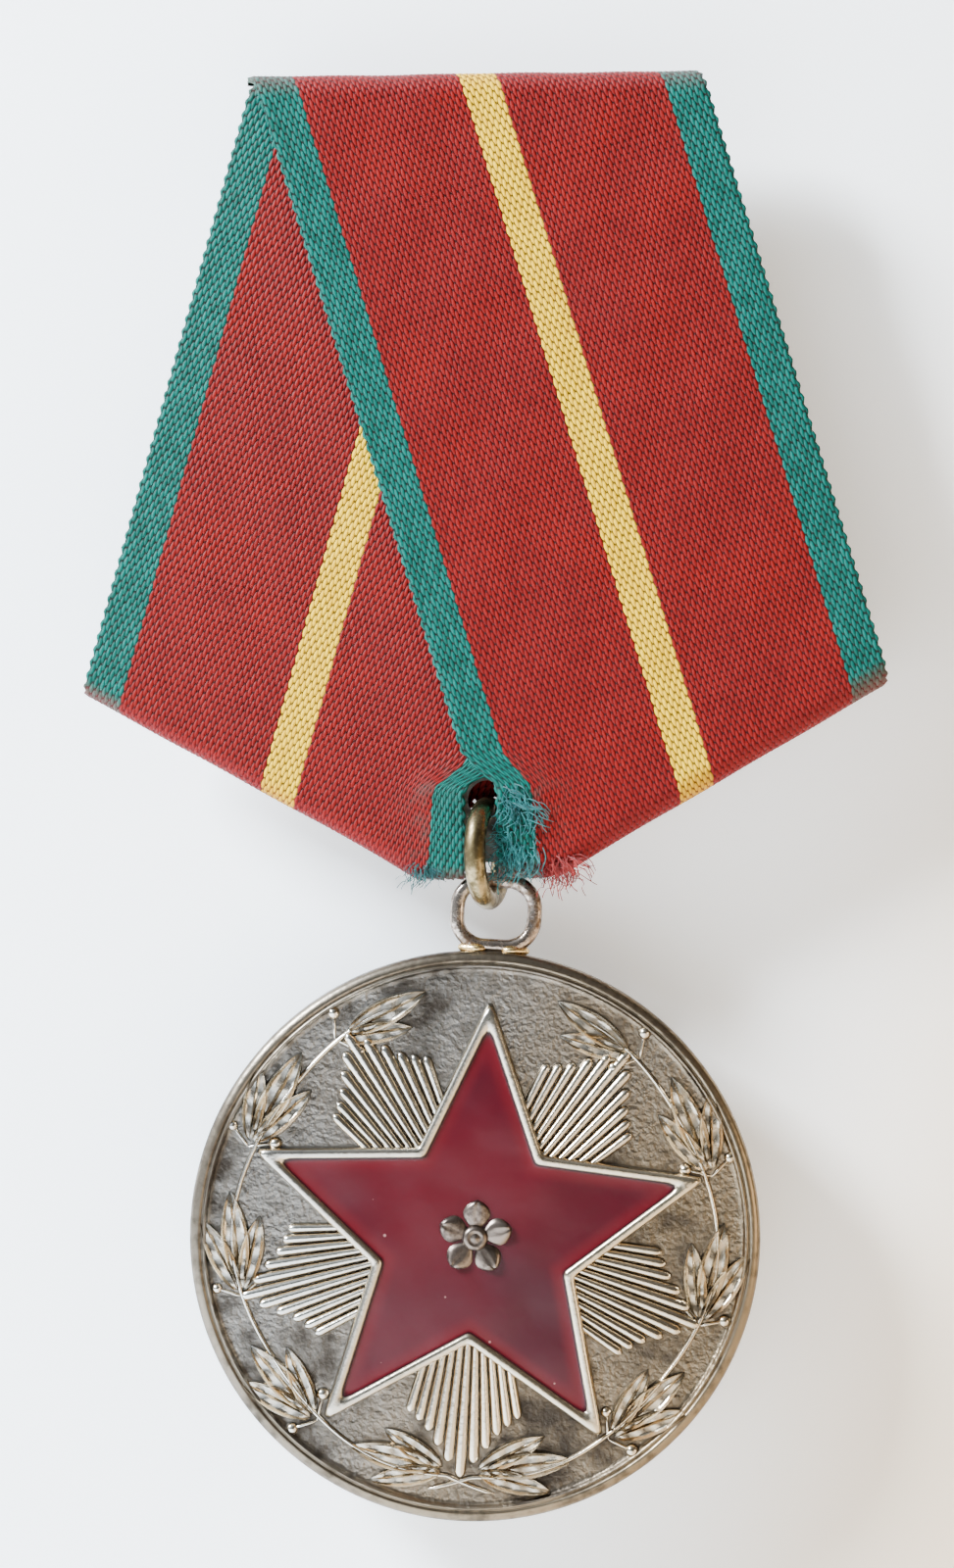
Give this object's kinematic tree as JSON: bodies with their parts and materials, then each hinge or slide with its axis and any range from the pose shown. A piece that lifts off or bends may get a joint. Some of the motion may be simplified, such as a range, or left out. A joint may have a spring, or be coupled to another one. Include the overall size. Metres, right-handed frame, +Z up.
{
  "type": "service medal",
  "caption": "Round struck medal with an enamelled star, hung by a jump ring from a five-sided ribbon mount with a hinged brooch pin.",
  "frame": {"origin": "middle of the brooch needle's shank, on its axis, behind the mount", "axes": "+X across the medal to the viewer's right, +Y away from the front towards the cloth it is pinned to, +Z up"},
  "size_m": [0.0455, 0.008, 0.0814],
  "materials": {
    "plate_metal": "stamped, dull",
    "ribbon_cloth": "ribbed silk weave, red with green edges and a yellow centre stripe",
    "thread": "sewing thread",
    "pin_steel": "plain bright steel",
    "ring_brass": "aged, dark with bright rubs",
    "medal_silver": "silvered, sand-grained field, dark patina",
    "device_silver": "oxidised silver",
    "red_enamel": "glossy translucent enamel",
    "solder": "fused bead"
  },
  "bodies": {
    "mount": {"mount_plate": "plate_metal", "ribbon_left_band": "ribbon_cloth", "ribbon_right_band": "ribbon_cloth", "ribbon_stitches": "thread", "pin_bracket": "pin_steel", "bracket_rivets": "plate_metal", "hinge_pin": "pin_steel"},
    "needle": {"brooch_needle": "pin_steel"},
    "ring": {"jump_ring": "ring_brass"},
    "medal": {"medal_disc": "medal_silver", "enamel_star": "red_enamel", "centre_device": "device_silver", "suspension_lug": "medal_silver", "lug_solder": "solder"}
  },
  "joints": [
    {"name": "pin_open", "type": "hinge", "parent": "mount", "child": "needle", "pos_m": [-0.013, 0, 0], "axis": [0, 0, 1], "range_deg": [0, 75]},
    {"name": "ring_turn", "type": "hinge", "parent": "mount", "child": "ring", "pos_m": [0, -0.00385, -0.0349], "axis": [0.9563, -0.2924, 0], "range_deg": [-35, 35]},
    {"name": "medal_swing", "type": "hinge", "parent": "ring", "child": "medal", "pos_m": [0, -0.00385, -0.0375], "axis": [0, 1, 0], "range_deg": [-20, 20]}
  ]
}
